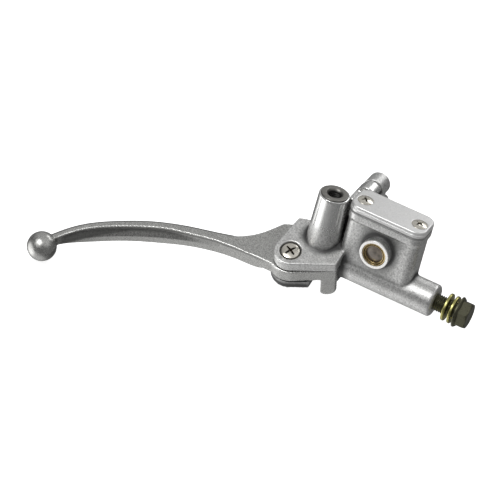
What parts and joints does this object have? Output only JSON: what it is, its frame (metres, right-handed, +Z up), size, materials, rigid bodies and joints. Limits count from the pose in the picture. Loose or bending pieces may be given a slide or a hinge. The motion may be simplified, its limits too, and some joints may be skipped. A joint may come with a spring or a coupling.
{
  "type": "brake master cylinder",
  "caption": "Handlebar hydraulic brake master cylinder with a hand lever, lidded fluid reservoir with sight glass, mirror boss, clamp and banjo bolt.",
  "frame": {"origin": "centre of the handlebar clamp's bore", "axes": "+X along the handlebar towards the middle of the vehicle, +Y towards the rider, +Z up"},
  "size_m": [0.2392, 0.1169, 0.08],
  "materials": {
    "cast_body": "fine cast grain under silver paint",
    "lid": "smooth silver paint",
    "lever_alloy": "tumbled, satin, with darker pores",
    "black_rubber": "matt moulded rubber",
    "white_plastic": "matt moulded plastic",
    "nickel_steel": "nickel plated, warm",
    "zinc_steel": "zinc plated",
    "spring_steel": "oiled spring steel",
    "piston_alloy": "turned",
    "olive_steel": "dark olive plating",
    "yellow_zinc": "yellow zinc plating",
    "dark_steel": "dark plating",
    "brass": "turned, lightly tarnished",
    "sight_glass": "clear, polished, tinted by what is behind it"
  },
  "bodies": {
    "housing": {"master_cylinder_body": "cast_body", "reservoir_lid": "lid", "clamp_cap": "cast_body", "diaphragm": "black_rubber", "dust_boot": "black_rubber", "sight_glass_seal": "black_rubber", "diaphragm_plate": "white_plastic", "lid_screws": "nickel_steel", "pivot_screw": "nickel_steel", "clamp_bolts": "zinc_steel", "clamp_spring_washers": "zinc_steel", "circlip": "spring_steel", "stop_washer": "spring_steel", "return_spring": "spring_steel", "banjo_bolt": "olive_steel", "pivot_nut": "dark_steel", "sight_glass_ring": "brass", "sight_glass_lens": "sight_glass"},
    "lever": {"lever": "lever_alloy"},
    "piston": {"piston": "piston_alloy", "primary_cup": "black_rubber", "secondary_cup": "black_rubber"},
    "inner_washer": {"crush_washer_inner": "yellow_zinc"},
    "outer_washer": {"crush_washer_outer": "yellow_zinc"}
  },
  "joints": [
    {"name": "lever_pivot", "type": "hinge", "parent": "housing", "child": "lever", "pos_m": [-0.024, -0.03902, -0.02304], "axis": [0, 0.3907, -0.9205], "range_deg": [0, 20]},
    {"name": "piston_slide", "type": "slide", "parent": "housing", "child": "piston", "axis": [1, 0, 0], "range_m": [0, 0.00594], "stiffness_N_per_m": 1500, "springref_m": -0.006, "deforming": ["return_spring"]},
    {"name": "inner_washer_slide", "type": "slide", "parent": "housing", "child": "inner_washer", "axis": [1, 0, 0], "range_m": [-0.006, 0.001]},
    {"name": "outer_washer_slide", "type": "slide", "parent": "housing", "child": "outer_washer", "axis": [1, 0, 0], "range_m": [-0.001, 0.0015]}
  ],
  "couplings": [
    {"joint": "piston_slide", "follows": "lever_pivot", "m_per_rad": 0.017}
  ]
}
